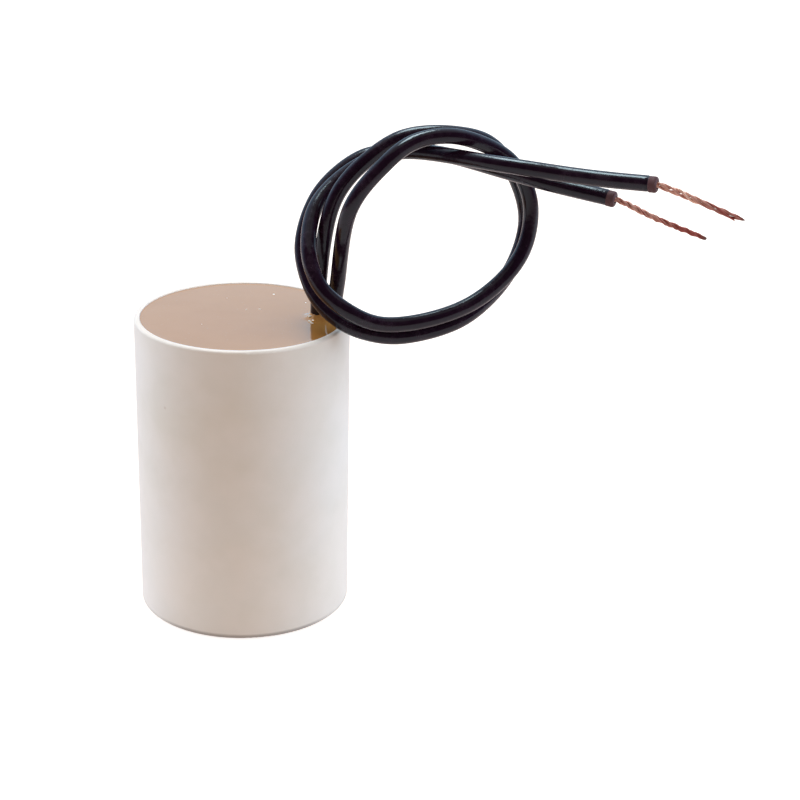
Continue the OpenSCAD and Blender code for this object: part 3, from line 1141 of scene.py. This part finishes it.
world = bpy.data.worlds.new("pale_room")
scene.world = world
world.use_nodes = True
tree = world.node_tree
back = tree.nodes["Background"]
ray = tree.nodes.new("ShaderNodeLightPath").outputs
toward = tree.nodes.new("ShaderNodeTexCoord").outputs["Generated"]
way = add(tree, "ShaderNodeSeparateXYZ", {"Vector": toward})
walls = ranged(tree, way.outputs["Y"], WALL_START, WALL_FULL, FRONT_DARK,
               1.0, soft=True)
strength = maths(tree, "MAXIMUM", ray["Is Camera Ray"],
                 ray["Is Transmission Ray"])
for part in (times(tree, ray["Is Glossy Ray"], walls),
             times(tree, ray["Is Diffuse Ray"], WORLD_FILL)):
    strength = maths(tree, "MAXIMUM", strength, part)
feed(tree, back.inputs["Strength"], strength)
tint = mixed(tree, ray["Is Glossy Ray"], WHITE, WALL_BLUE)
feed(tree, back.inputs["Color"],
     mixed(tree, ray["Is Diffuse Ray"], tint, WARM_FILL))
print("world:", world.name)

# %% [markdown]
# The floor is pale and matt and partly lit by itself, so that it looks white
# and still shows the object's shadow. It too tells the rays apart. The
# camera sees a glow that grows outwards, so that the floor meets the white
# world without a line. Shiny surfaces see a weak pink floor, which is what
# the leads' undersides show. Matt surfaces get some light back from it close
# to the object, as from a lit table.

# %% Floor
FLOOR_SIZE = 4.0
FLOOR_CREAM = (0.55, 0.47, 0.41)
FLOOR_PINK = (1.0, 0.54, 0.80)
FLOOR_GLOW, FAR_GLOW = 0.72, 0.88
GLOW_START, GLOW_END = 0.1, 0.8
FLOOR_SHINE = 0.17
FLOOR_BOUNCE = 0.34
BOUNCE_START, BOUNCE_END = 0.03, 0.07

bpy.ops.object.select_all(action="DESELECT")
bpy.ops.mesh.primitive_plane_add(size=FLOOR_SIZE, location=(0, 0, 0))
floor = bpy.context.object
floor.name = "floor"
pale, tree, shader, place = new_material("pale_floor", Roughness=0.9,
                                         Specular_IOR_Level=0.0)
feed(tree, shader.inputs["Base Color"], FLOOR_CREAM)
ray = tree.nodes.new("ShaderNodeLightPath").outputs
feed(tree, shader.inputs["Emission Color"],
     mixed(tree, ray["Is Glossy Ray"], WHITE, FLOOR_PINK))
off = add(tree, "ShaderNodeVectorMath", {0: place},
          operation="LENGTH").outputs["Value"]
wide = ranged(tree, off, GLOW_START, GLOW_END, FLOOR_GLOW, FAR_GLOW)
near = ranged(tree, off, BOUNCE_START, BOUNCE_END, 1.0, 0.0, soft=True)
glow = 0.0
for rays, strength in (("Camera", wide), ("Glossy", FLOOR_SHINE),
                       ("Diffuse", times(tree, near, FLOOR_BOUNCE))):
    part = times(tree, ray[f"Is {rays} Ray"], strength)
    glow = maths(tree, "ADD", part, glow)
feed(tree, shader.inputs["Emission Strength"], glow)
give(pale, floor)


# %% [markdown]
# Lamps light the object at a plain level. A broad ceiling light stands for
# the room, and a soft lamp on each side shapes the can. The side lamps are
# hidden from shiny surfaces, because their outlines would show on the leads.
# The overhead lamp is the one that shows there: it stands behind and above
# and draws the bright streak along each lead's free end.

# %% Helpers that make lamps
def aimed(name, lamp, place, aim):
    """Put a lamp at a place and turn it towards what it lights."""
    obj = bpy.data.objects.new(name, lamp)
    obj.location = place
    way = Vector(aim) - Vector(place)
    obj.rotation_euler = way.to_track_quat("-Z", "Y").to_euler()
    scene.collection.objects.link(obj)
    print(name, "gives", round(lamp.energy, 2))
    return obj


def softbox(name, place, aim, width, depth, brightness, colour):
    """An oblong lamp, whose power grows with its face to keep it as bright."""
    lamp = bpy.data.lights.new(name, "AREA")
    lamp.shape = "RECTANGLE"
    lamp.size = width
    lamp.size_y = depth
    lamp.energy = brightness * math.pi * width * depth
    lamp.color = colour
    return aimed(name, lamp, place, aim)


# %% Lamps
WARM = (1.0, 0.90, 0.80)
PALE_BLUE = (0.86, 0.92, 0.94)
COOL = (0.66, 0.95, 1.22)
CEILING_BRIGHTNESS = 0.13
CEILING_SPREAD = math.radians(80)
CEILING_PLACE = (0, 0.2, 1.0)
CAN_FOOT = (0, 0, 0)
OVERHEAD_PLACE = (-0.015, 0.115, 0.405)
OVERHEAD_AIM = (-0.06, 0.025, 0.05)
OVERHEAD_WIDTH, OVERHEAD_DEPTH = 0.12, 0.17
OVERHEAD_BRIGHTNESS = 12.0
CAN_MIDDLE = (0, 0, CAN_TOP / 2)
SIDE_SIZE = 0.5
SIDE_LAMPS = (("left_lamp", (-0.485, 0.18, 0.22), 3.55),
              ("right_lamp", (0.50, 0.025, 0.22), 3.5))

sky = bpy.data.lights.new("ceiling", "SUN")
sky.energy = CEILING_BRIGHTNESS * math.pi
sky.color = WARM
sky.angle = CEILING_SPREAD
aimed("ceiling", sky, CEILING_PLACE, CAN_FOOT)
softbox("overhead_lamp", OVERHEAD_PLACE, OVERHEAD_AIM, OVERHEAD_WIDTH,
        OVERHEAD_DEPTH, OVERHEAD_BRIGHTNESS, PALE_BLUE)
for name, place, brightness in SIDE_LAMPS:
    lamp = softbox(name, place, CAN_MIDDLE, SIDE_SIZE, SIDE_SIZE, brightness,
                   COOL)
    lamp.visible_glossy = False

scene.view_settings.view_transform = "Standard"
